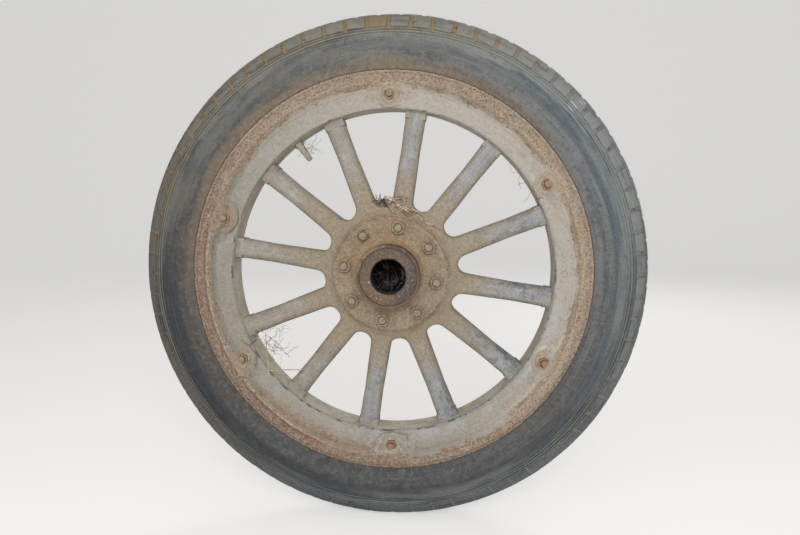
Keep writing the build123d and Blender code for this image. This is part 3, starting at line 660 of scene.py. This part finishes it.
def dry_mud():
    """Tan mud dried on the hub, orange with rust at the upper left and by the nose, painted near-black inside
    the bore as shade.
    """
    f = Finish("dry_mud", specular=0.15)
    patches = f.noise(0.022, 5, 0.6)
    flecks = f.noise(0.01, 5, 0.7, (9, 1, 3))
    grit = f.noise(0.0036, 3, 0.7, (3, 1, 4))
    fine = f.noise(0.002, 2, 0.6, (5, 2, 1))
    crumbs = f.cells(0.005, (2, 1, 8))
    f.colour = f.mix(f.ramp(patches, 0.38, 0.62), (142, 125, 104), (158, 143, 122))
    upper_left = f.side(-0.5, 0.9, -0.03, 0.07)
    rust = f.times(upper_left, f.ramp(flecks, 0.46, 0.62), f.ramp(f.radius, 0.098, 0.092))
    f.coat(rust, 0.5, (160, 121, 84))
    by_nose = f.times(f.line(f.radius, 0.055, 0.011), f.side(-0.2, 0.95, -0.02, 0.025),
                      f.ramp(flecks, 0.34, 0.5))
    f.coat(by_nose, 0.6, (176, 144, 104))
    # Painted shade: a dark line along the crease at the plate's edge, with a rust tint at the upper left,
    # weaker at the lower left.
    crease_shade = f.times(f.line(f.add(f.radius, f.sway(patches, 0.001)), 0.0925, 0.0014),
                     f.ramp(flecks, 0.42, 0.54), f.side(-0.7, -0.7, 0.01, 0.06, 1, 0.2))
    f.coat(crease_shade, 0.7, f.mix(upper_left, (96, 76, 60), (118, 78, 58)))
    f.blotch(crumbs, 0.24, 0.12, 0.5, (112, 94, 76))
    f.blotch(grit, 0.5, 0.66, 0.45, (186, 172, 150))
    f.blotch(grit, 0.47, 0.34, 0.42, (108, 91, 74))
    f.blotch(fine, 0.5, 0.34, 0.28, (92, 76, 62))
    on_nose = f.times(f.ramp(f.radius, 0.0528, 0.0512), f.ramp(f.y, -0.05, -0.06))
    iron = f.mix(f.ramp(f.z, 0.02, -0.03), (92, 78, 68), (108, 88, 74))
    iron = f.mix(f.ramp(flecks, 0.5, 0.64, 0, 0.6), iron, (124, 104, 85))
    f.coat(on_nose, f.ramp(f.add(f.lean(-0.6, 0.7), f.sway(flecks, 0.12)), 0.055, 0.02, 0.25, 0.95), iron)
    skirt = f.times(f.ramp(f.radius, 0.094, 0.101), f.ramp(f.radius, 0.14, 0.12))
    f.coat(skirt, 0.5, (160, 146, 126))
    # Painted shade: the wall of the bore is painted near-black.
    bore = f.times(f.ramp(f.radius, 0.0345, 0.0325), f.ramp(f.y, -0.053, -0.0515))
    f.coat(bore, (34, 29, 27))
    height = f.add(f.times(grit, 0.7), f.times(crumbs, 0.5), f.times(flecks, 0.6))
    return f.lay(f.bump(height, 0.0016, 0.8), grit, 0.3, 0.7, 0.85, 0.97)


def muddy_nut():
    """Muddy nut in the tones of what it sits on, darker brown on its steep sides."""
    f = Finish("muddy_nut", specular=0.2)
    patches = f.noise(0.008, 5, 0.65)
    grit = f.noise(0.003, 3, 0.7, (3, 1, 4))
    by_rim = f.ramp(f.radius, 0.1, 0.2)
    f.colour = f.mix(f.ramp(patches, 0.4, 0.6), (144, 126, 104), (164, 149, 127))
    rusty = f.times(by_rim,
                    f.ramp(f.add(f.lean(0.75, -0.66), f.sway(patches, 0.12)), -0.05, 0.16, 0.1, 0.75))
    f.coat(rusty, (152, 114, 84))
    darker_sides = f.times(f.steep(), f.ramp(patches, 0.34, 0.52, 0.35, 1))
    f.coat(darker_sides, 0.65, (98, 78, 61))
    f.blotch(grit, 0.5, 0.66, 0.45, (186, 172, 149))
    f.blotch(grit, 0.47, 0.34, 0.45, (96, 78, 62))
    return f.lay(f.bump(grit, 0.0012, 0.8), grit, 0.3, 0.7, 0.8, 0.95)


def brown_iron():
    """The recessed ring in the nose: brown-grey and painted darker above as shade, reddish and lighter below,
    bluish at the right, its inner edge painted near-black as the bore's shade.
    """
    f = Finish("brown_iron", roughness=0.75)
    patches = f.noise(0.012, 5, 0.65)
    grit = f.noise(0.003, 3, 0.7, (2, 6, 1))
    wobble = f.sway(patches, 0.05)
    # Painted shade: the upper side of the recess is darker.
    f.colour = f.mix(f.ramp(f.add(f.z, wobble), 0.02, -0.03), (102, 88, 76), (116, 94, 78))
    right = f.ramp(f.add(f.lean(1, -0.5), wobble), 0.014, 0.04)
    f.coat(right, 0.8, (77, 71, 72))
    f.blotch(patches, 0.54, 0.66, 0.55, f.mix(right, (138, 114, 92), (104, 103, 106)))
    f.blotch(patches, 0.46, 0.34, 0.5, (80, 66, 58))
    f.blotch(grit, 0.5, 0.68, 0.45, (160, 142, 120))
    f.blotch(grit, 0.47, 0.34, 0.5, (60, 49, 43))
    # Painted shade: the inner edge is darkened to widen the dark mouth of the bore.
    edge = f.ramp(f.add(f.radius, f.sway(patches, 0.005), f.sway(grit, 0.003)), 0.03, 0.028)
    f.coat(edge, 0.92, (40, 33, 30))
    return f.lay(f.bump(f.add(grit, patches), 0.001, 0.7), grit, 0.3, 0.7, 0.6, 0.9)


def black_dirt_and_shade():
    """Dark matted dirt deep in the bore, standing also as the painted shade of the deep bore."""
    f = Finish("black_dirt_and_shade", roughness=0.95, specular=0.1)
    grit = f.noise(0.006, 5, 0.7)
    f.colour = f.mix(f.ramp(grit, 0.4, 0.75), (14, 12, 12), (56, 48, 43))
    return f.lay(f.bump(grit, 0.003, 0.8))


def pale_stem():
    """Dull metal of the valve under pale dust."""
    f = Finish("pale_stem", roughness=0.8)
    dust = f.noise(0.006, 5, 0.65)
    grit = f.noise(0.0015, 3, 0.6)
    f.colour = f.mix(f.ramp(dust, 0.4, 0.6), (148, 140, 127), (180, 174, 163))
    f.blotch(grit, 0.4, 0.7, 0.4, (118, 106, 90))
    return f.lay(f.bump(grit, 0.0005, 0.5), dust, 0.3, 0.7, 0.6, 0.9)


def dry_straw(name, light, dark):
    """Straw, twigs or old web, streaked from a light to a dark tone."""
    f = Finish(name, specular=0.2)
    streak = f.noise(0.006, 3, 0.6)
    f.colour = f.mix(f.ramp(streak, 0.4, 0.6), light, dark)
    return f.lay(f.bump(f.noise(0.001, 2), 0.0003, 0.4), streak, 0.3, 0.7, 0.7, 0.9)


def pale_studio():
    """Plain pale floor and backdrop, lifted for the camera and for reflections alone."""
    f = Finish("pale_studio", roughness=0.9, specular=0.1)
    path = f.node("LightPath", {})
    seen = f.add(path["Is Camera Ray"], path["Is Glossy Ray"], path["Is Transmission Ray"])
    f.shader.inputs["Emission Color"].default_value = (1, 1, 1, 1)
    f.feed(f.shader.inputs["Emission Strength"], f.times(seen, 0.42))
    f.colour = (222, 220, 216)
    return f.lay()


# Pieces


def side_depth(radius):
    """Depth of the sidewall at a radius between the rim's lip and the widest point."""
    return SIDE_ARC - SECTION - (SIDE_ARC ** 2 - (CROWN_CENTRE - radius) ** 2) ** 0.5


def half_tyre_outline():
    """Radius and depth from the middle of the tread, round the outer side, to the rim seat."""
    def crown(angle, sink=0):
        reach = SECTION - sink
        return CROWN_CENTRE + reach * cos(radians(angle)), -reach * sin(radians(angle))
    tread = [crown(angle, TREAD_DEPTH) for angle in (0, 8, 15, 20, 25, 32, 39, 46, 53, 60, 63)]
    ribs = [crown(*rib) for rib in RIBS]
    wall = [(radius, side_depth(radius)) for radius in (0.355, 0.347, 0.34, 0.333, 0.327, LIP_RADIUS)]
    bead = [(0.3195, -0.04), (0.314, -0.0377), (0.3098, -0.0377), (0.3065, -0.0363), (0.3051, -0.033),
            (0.3051, 0)]
    return tread + ribs + wall + bead


def section_angle(point):
    """Angle round the tyre's section from the middle of the tread, in degrees."""
    return degrees(atan2(abs(point.y), hypot(point.x, point.z) - CROWN_CENTRE))


def pitch_angle(point):
    """Angle round the axle within one tread pitch, in degrees."""
    return degrees(atan2(point.x, point.z))


def make_tyre():
    """The inflated tyre: one pitch of the tread is modelled, mirrored and repeated round the wheel."""
    tyre = drawn_line("tyre_casing", [(0, depth, radius) for radius, depth in half_tyre_outline()])
    edit_all()
    for step in (0.5, 1.5, 1, 1.5, 0.5):
        extrude((0, 0, 0))
        bpy.ops.transform.rotate(value=radians(step), orient_axis="Y", center_override=(0, 0, 0))
    tidy_faces(tyre)
    turns = [pitch_angle(vertex.co) for vertex in tyre.data.vertices]
    middle = (min(turns) + max(turns)) / 2

    def on_block(face):
        around = abs(pitch_angle(face.center) - middle)
        across = section_angle(face.center)
        if across < CROWN_EDGE:
            return around > HALF_CROWN_GAP
        return SHOULDER_START < across < SHOULDER_END and around < HALF_BLOCK

    crown = next(face for face in tyre.data.polygons if section_angle(face.center) < 8)
    rise = TREAD_DEPTH if crown.normal.z > 0 else -TREAD_DEPTH
    pick(tyre, "FACE", on_block)
    bpy.ops.mesh.extrude_region_shrink_fatten(TRANSFORM_OT_shrink_fatten={"value": rise})
    stop_editing()
    apply_modifier(tyre, "MIRROR", use_axis=(False, True, False), merge_threshold=0.00001)
    pick(tyre, "FACE", lambda face: True)
    bpy.ops.mesh.spin(steps=BLOCKS - 1, dupli=True, angle=BLOCK_PITCH * (BLOCKS - 1), center=(0, 0, 0),
                      axis=(0, 1, 0))
    stop_editing()
    tidy_faces(tyre)

    def in_gap(point):
        height = hypot(hypot(point.x, point.z) - CROWN_CENTRE, point.y)
        return section_angle(point) < SHOULDER_END + 0.5 and height < SECTION - TREAD_DEPTH / 2

    gap_points = [vertex.index for vertex in tyre.data.vertices if in_gap(vertex.co)]
    tyre.vertex_groups.new(name="sunk").add(gap_points, 1, "REPLACE")
    groove = tyre.data.attributes.new("groove", "FLOAT", "POINT")
    for index in gap_points:
        groove.data[index].value = 1
    roughen(tyre, 0.02, 0.0022, middle=0.15, group="sunk")
    roughen(tyre, 0.045, 0.0012, middle=0.75)
    return smooth(tyre, 35)


def make_nut(name, circle, face, sizes, spin):
    """A nut with a worn outer edge and a dished mouth round its bolt, made at the top of its bolt circle."""
    across, height, bolt, corners = sizes
    put_tools_down()
    bpy.ops.mesh.primitive_cylinder_add(
        vertices=corners, radius=across / 2 / cos(pi / corners), depth=height,
        location=(0, face - height / 2, circle), rotation=(radians(90), radians(spin), 0),
    )
    nut = named(name)
    settle(nut)
    pick(nut, "FACE", lambda f: f.normal.y < -0.9)
    bpy.ops.mesh.inset(thickness=across * 0.055)
    bpy.ops.transform.translate(value=(0, -height * 0.06, 0))
    bpy.ops.mesh.inset(thickness=across / 2 * 0.89 - bolt - 0.0021)
    bpy.ops.mesh.inset(thickness=0.0012)
    bpy.ops.transform.translate(value=(0, 0.0024, 0))
    stop_editing()
    apply_modifier(nut, "BEVEL", width=0.0005, segments=2)
    apply_modifier(nut, "SUBSURF", levels=1, render_levels=1)
    round_end = (bolt + 0.0004, 0.0026, bolt + 0.0004)
    end = mud_mound("bolt_end", (0, face - height - 0.0016, circle), round_end)
    collar = mud_mound("collar", (0, face + 0.001, circle), (across * 0.66, 0.0042, across * 0.66))
    nut = joined([nut, end, collar], name)
    roughen(nut, 0.006, 0.0012)
    return smooth(nut, 50)


def make_nuts(name, circle, face, nuts):
    """One nut for each angle, with its sizes and its spin, joined."""
    pieces = []
    for number, (angle, sizes, spin) in enumerate(nuts):
        pieces.append(turned(make_nut(f"{name}_{number}", circle, face, sizes, spin), angle))
    return joined(pieces, name)


def make_hub_nuts():
    """Eight nuts on the hub plate, one of them square."""
    nuts = [(angle, HUB_NUT, 20 * number) for number, angle in enumerate(HUB_BOLT_ANGLES)]
    nuts[1] = (HUB_BOLT_ANGLES[1], SQUARE_HUB_NUT, 35)
    return make_nuts("plate_nuts", HUB_BOLT_CIRCLE, HUB_FACE, nuts)


def make_rim_nuts():
    """Six nuts on the clamp lugs."""
    nuts = [(angle, RIM_NUT, 15 + 25 * number) for number, angle in enumerate(RIM_BOLT_ANGLES)]
    return make_nuts("lug_nuts", RIM_BOLT_CIRCLE, LUG_FACE, nuts)


def mud_mound(name, place, half_sizes):
    """A flattened lump of mud at the top of the wheel."""
    put_tools_down()
    bpy.ops.mesh.primitive_uv_sphere_add(segments=32, ring_count=16, radius=1, location=place)
    mound = named(name)
    mound.scale = half_sizes
    settle(mound)
    return mound


def make_lugs():
    """The six clamp lugs, sunk in mud that rounds off their edges and fills their corners."""
    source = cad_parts["rim_lugs"]
    lugs = source.copy()
    lugs.data = source.data.copy()
    lugs.name = lugs.data.name = "clamp_lugs"
    lugs.parent = None
    lugs.matrix_world = Matrix.Identity(4)
    bpy.context.collection.objects.link(lugs)
    tidy_faces(lugs, 0.0001)
    pieces = [lugs]
    for angle in RIM_BOLT_ANGLES:
        for place, half_sizes in LUG_MUD:
            pieces.append(turned(mud_mound("lug_mud", place, half_sizes), angle))
    for angle, radius, size in MUD_LUMPS:
        pieces.append(turned(mud_mound("mud_lump", (0, -0.029, radius), (size, size * 0.8, size)), angle))
    lugs = joined(pieces, "clamp_lugs")
    apply_modifier(lugs, "REMESH", mode="VOXEL", voxel_size=0.0013)
    apply_modifier(lugs, "SMOOTH", factor=0.5, iterations=45)
    roughen(lugs, 0.009, 0.002, middle=0.4)
    turns = [radians(angle) for angle in RIM_BOLT_ANGLES]
    centres = [Vector((cos(turn), 0, sin(turn))) * RIM_BOLT_CIRCLE for turn in turns]
    reach = lugs.data.attributes.new("reach", "FLOAT", "POINT")
    for vertex in lugs.data.vertices:
        flat = Vector((vertex.co.x, 0, vertex.co.z))
        reach.data[vertex.index].value = min((flat - centre).length for centre in centres)
    return smooth(lugs)


def make_mud(name, outlines, steps, lump, height):
    """Rings of mud turned from their outlines, rounded off and roughened."""
    rings = [turned_ring(name, outline, steps) for outline in outlines]
    ring = joined(rings, name) if len(rings) > 1 else rings[0]
    apply_modifier(ring, "SUBSURF", levels=1, render_levels=1)
    roughen(ring, lump, height)
    return smooth(ring)


def make_bore_dirt_and_shade():
    """Matted dirt and old web that closes the bore deep inside: a dark sheet that is also painted shade of
    the bore.
    """
    put_tools_down()
    bpy.ops.mesh.primitive_circle_add(vertices=48, radius=BORE_RADIUS, fill_type="TRIFAN",
                                      location=(0, -0.012, 0), rotation=(radians(90), 0, 0))
    mat = named("bore_dirt_and_shade")
    settle(mat)
    edit_all()
    bpy.ops.mesh.subdivide(number_cuts=5)
    stop_editing()
    apply_modifier(mat, "SOLIDIFY", thickness=0.004)
    roughen(mat, 0.012, 0.01)
    return smooth(mat)


def stalk(name, points, thickness):
    """A thin stalk bent through the points."""
    line = drawn_line(name, points)
    take_up(line)
    bpy.ops.object.convert(target="CURVE")
    line = bpy.context.object
    line.data.bevel_depth = thickness / 2
    line.data.bevel_resolution = 1
    line.data.use_fill_caps = True
    bpy.ops.object.convert(target="MESH")
    line = named(name)
    tidy_faces(line, 0.000001)
    return smooth(line)


def scattered(draw, half_sizes):
    """A random step within half sizes."""
    return Vector([draw.uniform(-size, size) for size in half_sizes])


def wandering(draw, start, end, steps, swing):
    """Points from start to end that sway off the straight line."""
    start, end = Vector(start), Vector(end)
    sway = Vector((0, 0, 0))
    points = []
    for step in range(steps + 1):
        share = step / steps
        points.append(tuple(start.lerp(end, share) + sway * (4 * share * (1 - share)) ** 0.5))
        sway += scattered(draw, (1, 0.6, 1)) * swing
    return points


def make_straws():
    """Straws caught in the lower left gap."""
    draw = random.Random(27)
    pieces = [stalk("straw", wandering(draw, *bends), thickness) for *bends, thickness in STRAWS]
    return joined(pieces, "straws")


def make_twigs():
    """Bent twigs and roots matted on top of the hub."""
    draw = random.Random(8)
    root = wandering(draw, (0.052, -0.03, 0.082), (0.088, -0.0235, 0.07), 6, 0.0012)
    pieces = [stalk("root", root, 0.0012)]
    for _ in range(20):
        middle = Vector((-0.008, -0.029, 0.128)).lerp(Vector((0.058, -0.031, 0.078)), draw.uniform(0, 0.75))
        aside, deeper = draw.uniform(-0.01, 0.006), draw.uniform(-0.003, 0.003)
        start = middle + Vector((aside, deeper, draw.uniform(-0.006, 0.008)))
        reach = draw.uniform(0.018, 0.044)
        lean = radians(draw.gauss(-38, 22))
        end = start + Vector((cos(lean) * reach, draw.uniform(-0.004, 0.002), sin(lean) * reach))
        thickness = draw.uniform(0.0009, 0.0021)
        pieces.append(stalk("twig", wandering(draw, start, end, 7, 0.0018), thickness))
    return joined(pieces, "twigs")


def web_strands(draw, name, centre, spread, count, length, thickness):
    """Short strands of old web scattered about a place."""
    pieces = []
    for _ in range(count):
        start = Vector(centre) + scattered(draw, spread)
        aim = scattered(draw, (1, 0.3, 1)).normalized()
        points = wandering(draw, start, start + aim * length * draw.uniform(0.5, 1.2), 6, length * 0.07)
        pieces.append(stalk(name, points, thickness * draw.uniform(0.6, 1.3)))
    return joined(pieces, name)


def make_bore_web():
    """Funnel of old web in the bore: ragged arcs and strands at many depths."""
    draw = random.Random(51)
    pieces = []
    for _ in range(26):
        radius = draw.uniform(0.009, 0.0262)
        start, sweep = draw.gauss(1.45 * pi, 0.75), draw.uniform(0.5, 1.6)
        depth = -0.044 - 0.024 * radius / FUNNEL_RADIUS + draw.uniform(-0.004, 0.002)
        inwards = 1 - radius / FUNNEL_RADIUS
        middle = (draw.uniform(-0.004, 0.004) * inwards, draw.uniform(-0.004, 0.004) * inwards)
        points = []
        for step in range(8):
            turn = start + sweep * step / 7
            reach = min(radius + draw.uniform(-0.0012, 0.0012), WEB_RADIUS)
            points.append((reach * cos(turn) + middle[0], depth + draw.uniform(-0.001, 0.001),
                           reach * sin(turn) + middle[1]))
        pieces.append(stalk("arc", points, draw.uniform(0.0004, 0.0009)))
    for _ in range(13):
        turn, far = draw.gauss(1.3 * pi, 1.3), draw.uniform(0.4, 1)
        outer = (WEB_RADIUS * cos(turn), -0.066, WEB_RADIUS * sin(turn))
        turn += draw.uniform(-0.5, 0.5)
        inner = (WEB_RADIUS * (1 - far) * cos(turn), -0.048, WEB_RADIUS * (1 - far) * sin(turn))
        pieces.append(stalk("strand", wandering(draw, outer, inner, 5, 0.0008), draw.uniform(0.0004, 0.0008)))
    return joined(pieces, "bore_web")


def make_crumbs():
    """Crumbs of pale dirt on the nose, round the bore."""
    draw = random.Random(14)
    pieces = []
    for angle in (196, 228, 241, 252, 263, 300, 352):
        reach, size = draw.uniform(0.031, 0.042), draw.uniform(0.001, 0.0018)
        half_sizes = (size * draw.uniform(1, 1.6), size, size)
        pieces.append(turned(mud_mound("crumb", (0, NOSE_END - size * 0.4, reach), half_sizes), angle))
    crumbs = joined(pieces, "nose_crumbs")
    roughen(crumbs, 0.002, 0.0006)
    return crumbs


def make_fluff():
    """A clump of grey fluff on the floor of the gap above the hub."""
    clump = mud_mound("fluff_clump", (-0.014, -0.018, 0.1135), (0.0125, 0.007, 0.0065))
    roughen(clump, 0.005, 0.008)
    return joined([clump, web_strands(random.Random(53), *FLUFF_HAIRS)], "hub_fluff")


def dress(piece, material, slot, *nodes):
    """Gives a piece its finish and the body it rides on, and hides the nodes it stands for. The slot is not
    used.
    """
    piece.data.materials.clear()
    piece.data.materials.append(material)
    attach(piece, "root")
    if nodes:
        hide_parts(*nodes)


# Studio


def make_studio():
    """Pale floor that sweeps up into a backdrop."""
    put_tools_down()
    bpy.ops.mesh.primitive_plane_add(size=12, location=(0, 0, TYRE_BOTTOM))
    floor = named("studio_floor")
    settle(floor)
    pick(floor, "EDGE", lambda e: all(floor.data.vertices[v].co.y > 5.9 for v in e.vertices))
    extrude((0, 0, 6))
    stop_editing()
    apply_modifier(floor, "BEVEL", width=2.5, segments=12)
    smooth(floor)
    floor.data.materials.append(pale_studio())


def make_lamp(name, place, target, size, power):
    """A soft square lamp aimed at a point."""
    data = bpy.data.lights.new(name, "AREA")
    data.shape = "SQUARE"
    data.size = size
    data.energy = power
    lamp = bpy.data.objects.new(name, data)
    lamp.location = place
    lamp.rotation_euler = (Vector(target) - Vector(place)).to_track_quat("-Z", "Y").to_euler()
    bpy.context.collection.objects.link(lamp)


def make_sky(level):
    """Even light from all round."""
    world = bpy.data.worlds.new("studio_sky")
    bpy.context.scene.world = world
    world.use_nodes = True
    sky = world.node_tree.nodes["Background"]
    sky.inputs["Color"].default_value = (1, 1, 1, 1)
    sky.inputs["Strength"].default_value = level


def make_camera():
    """Camera at the photograph's viewpoint."""
    data = bpy.data.cameras.new("camera")
    data.sensor_width = 36
    data.lens = 30.6
    camera = bpy.data.objects.new("camera", data)
    camera.location = (0.099, -1.125, 0.128)
    camera.rotation_euler = (radians(83.875), radians(0.233), radians(4.346))
    bpy.context.collection.objects.link(camera)
    bpy.context.scene.camera = camera


make_camera()
make_studio()
make_lamp("key", (0.3, -2.4, 0.8), (0, 0, 0), 1.3, 43.5)
make_lamp("back", (0.9, 2.3, 1.75), (0, 0, 0), 1.2, 15)
make_lamp("fill", (-1.6, -2, 0.8), (0, 0, 0), 1.6, 8)
make_sky(0.305)

rust = rust_scale()
mud = dry_mud()
nut_mud = muddy_nut()
web = dry_straw("old_web", (176, 170, 158), (126, 118, 106))

dress(make_tyre(), dusty_rubber(), "tyre_rubber", "tyre")
dress(make_hub_nuts(), nut_mud, "bolt_steel", "hub_nuts")
dress(make_rim_nuts(), nut_mud, "bolt_steel", "rim_nuts")
dress(make_lugs(), lug_mud(), "rusty_steel", "rim_lugs")
dress(make_mud("nose_mud", [NOSE_MUD], 96, 0.012, 0.0034), mud, "hub_iron")
dress(make_mud("plate_mud", [PLATE_MUD], 144, 0.012, 0.0026), mud, "hub_iron")
dress(make_mud("rim_mud", [JOINT_MUD, FLANGE_MUD], 300, 0.01, 0.0024), rust, "rusty_steel")
dress(make_bore_dirt_and_shade(), black_dirt_and_shade(), "hub_iron")
dress(make_straws(), dry_straw("dry_straw", (206, 190, 160), (160, 138, 104)), "painted_wood")
dress(make_twigs(), dry_straw("dry_twig", (204, 186, 162), (140, 116, 92)), "painted_wood")
web_draw = random.Random(52)
for strands in WEBS:
    dress(web_strands(web_draw, *strands), web, "painted_wood")
dress(make_bore_web(), dry_straw("bore_web", (88, 86, 88), (44, 42, 46)), "hub_iron")
dress(make_crumbs(), web, "hub_iron")
dress(make_fluff(), dry_straw("old_fluff", (126, 117, 106), (62, 57, 53)), "painted_wood")

spokes = [f"spoke_{number:02d}" for number in range(1, SPOKES + 1)]
for material, nodes in (
    (rust, ["rim", "felloe_band"]),
    (dusty_wood(), ["felloe_upper", "felloe_lower"] + spokes),
    (mud, ["hub_shell", "hub_front_plate"]),
    (nut_mud, ["hub_bolts", "rim_bolts"]),
    (brown_iron(), ["hub_outer_bearing", "hub_inner_bearing"]),
    (pale_stem(), ["valve"]),
):
    for node in nodes:
        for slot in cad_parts[node].material_slots:
            slot.material = material

bpy.context.scene.view_settings.view_transform = "Standard"
put_tools_down()
